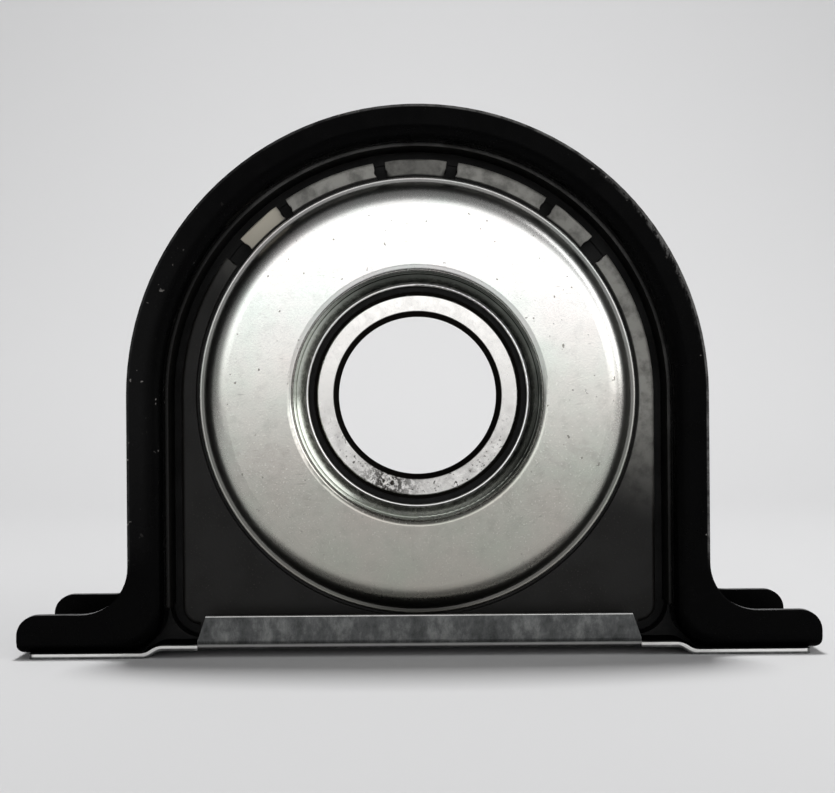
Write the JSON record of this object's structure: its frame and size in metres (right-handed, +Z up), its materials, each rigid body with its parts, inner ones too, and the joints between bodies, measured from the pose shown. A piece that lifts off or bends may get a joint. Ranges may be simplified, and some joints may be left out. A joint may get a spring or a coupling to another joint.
{
  "type": "driveshaft centre bearing",
  "caption": "Driveshaft centre bearing: a sealed ball bearing in a rubber cushion with dished zinc shields, held in a black arched steel bracket with slotted feet and a retaining strap.",
  "frame": {"origin": "middle of the base, on the underside of the strap's feet, under the shaft axis", "axes": "+X across the feet to the right seen from the front, +Y along the shaft from front to rear, +Z up"},
  "size_m": [0.236, 0.05, 0.1618],
  "materials": {
    "black_paint": "glossy black paint",
    "zinc_strap": "zinc-plated sheet",
    "zinc_shield": "bright zinc-plated sheet",
    "cushion_rubber": "moulded rubber with a dull sheen",
    "bearing_steel": "ground and polished bearing steel",
    "cage_steel": "pressed sheet steel",
    "seal_rubber": "black nitrile rubber"
  },
  "bodies": {
    "housing": {"bracket": "black_paint", "retaining_strap": "zinc_strap", "rubber_cushion": "cushion_rubber", "front_shield": "zinc_shield", "rear_shield": "zinc_shield", "outer_ring": "bearing_steel", "front_seal": "seal_rubber", "rear_seal": "seal_rubber", "front_seal_case": "zinc_shield", "rear_seal_case": "zinc_shield"},
    "inner_race": {"inner_ring": "bearing_steel"},
    "cage": {"cage_front": "cage_steel", "cage_rear": "cage_steel", "cage_rivets": "cage_steel"},
    "ball_01": {"ball_01": "bearing_steel"},
    "ball_02": {"ball_02": "bearing_steel"},
    "ball_03": {"ball_03": "bearing_steel"},
    "ball_04": {"ball_04": "bearing_steel"},
    "ball_05": {"ball_05": "bearing_steel"},
    "ball_06": {"ball_06": "bearing_steel"},
    "ball_07": {"ball_07": "bearing_steel"},
    "ball_08": {"ball_08": "bearing_steel"},
    "ball_09": {"ball_09": "bearing_steel"},
    "ball_10": {"ball_10": "bearing_steel"}
  },
  "joints": [
    {"name": "inner_ring_spin", "type": "hinge", "parent": "housing", "child": "inner_race", "pos_m": [0, 0, 0.0765], "axis": [0, 1, 0], "continuous": true},
    {"name": "cage_spin", "type": "hinge", "parent": "housing", "child": "cage", "pos_m": [0, 0, 0.0765], "axis": [0, 1, 0], "continuous": true},
    {"name": "ball_01_spin", "type": "hinge", "parent": "cage", "child": "ball_01", "pos_m": [0.035, 0, 0.0765], "axis": [0, 1, 0], "continuous": true},
    {"name": "ball_02_spin", "type": "hinge", "parent": "cage", "child": "ball_02", "pos_m": [0.02832, 0, 0.09707], "axis": [0, 1, 0], "continuous": true},
    {"name": "ball_03_spin", "type": "hinge", "parent": "cage", "child": "ball_03", "pos_m": [0.01082, 0, 0.10979], "axis": [0, 1, 0], "continuous": true},
    {"name": "ball_04_spin", "type": "hinge", "parent": "cage", "child": "ball_04", "pos_m": [-0.01082, 0, 0.10979], "axis": [0, 1, 0], "continuous": true},
    {"name": "ball_05_spin", "type": "hinge", "parent": "cage", "child": "ball_05", "pos_m": [-0.02832, 0, 0.09707], "axis": [0, 1, 0], "continuous": true},
    {"name": "ball_06_spin", "type": "hinge", "parent": "cage", "child": "ball_06", "pos_m": [-0.035, 0, 0.0765], "axis": [0, 1, 0], "continuous": true},
    {"name": "ball_07_spin", "type": "hinge", "parent": "cage", "child": "ball_07", "pos_m": [-0.02832, 0, 0.05593], "axis": [0, 1, 0], "continuous": true},
    {"name": "ball_08_spin", "type": "hinge", "parent": "cage", "child": "ball_08", "pos_m": [-0.01082, 0, 0.04321], "axis": [0, 1, 0], "continuous": true},
    {"name": "ball_09_spin", "type": "hinge", "parent": "cage", "child": "ball_09", "pos_m": [0.01082, 0, 0.04321], "axis": [0, 1, 0], "continuous": true},
    {"name": "ball_10_spin", "type": "hinge", "parent": "cage", "child": "ball_10", "pos_m": [0.02832, 0, 0.05593], "axis": [0, 1, 0], "continuous": true}
  ],
  "couplings": [
    {"joint": "cage_spin", "follows": "inner_ring_spin", "ratio": 0.40929},
    {"joint": "ball_01_spin", "follows": "inner_ring_spin", "ratio": -2.6652},
    {"joint": "ball_02_spin", "follows": "inner_ring_spin", "ratio": -2.6652},
    {"joint": "ball_03_spin", "follows": "inner_ring_spin", "ratio": -2.6652},
    {"joint": "ball_04_spin", "follows": "inner_ring_spin", "ratio": -2.6652},
    {"joint": "ball_05_spin", "follows": "inner_ring_spin", "ratio": -2.6652},
    {"joint": "ball_06_spin", "follows": "inner_ring_spin", "ratio": -2.6652},
    {"joint": "ball_07_spin", "follows": "inner_ring_spin", "ratio": -2.6652},
    {"joint": "ball_08_spin", "follows": "inner_ring_spin", "ratio": -2.6652},
    {"joint": "ball_09_spin", "follows": "inner_ring_spin", "ratio": -2.6652},
    {"joint": "ball_10_spin", "follows": "inner_ring_spin", "ratio": -2.6652}
  ]
}
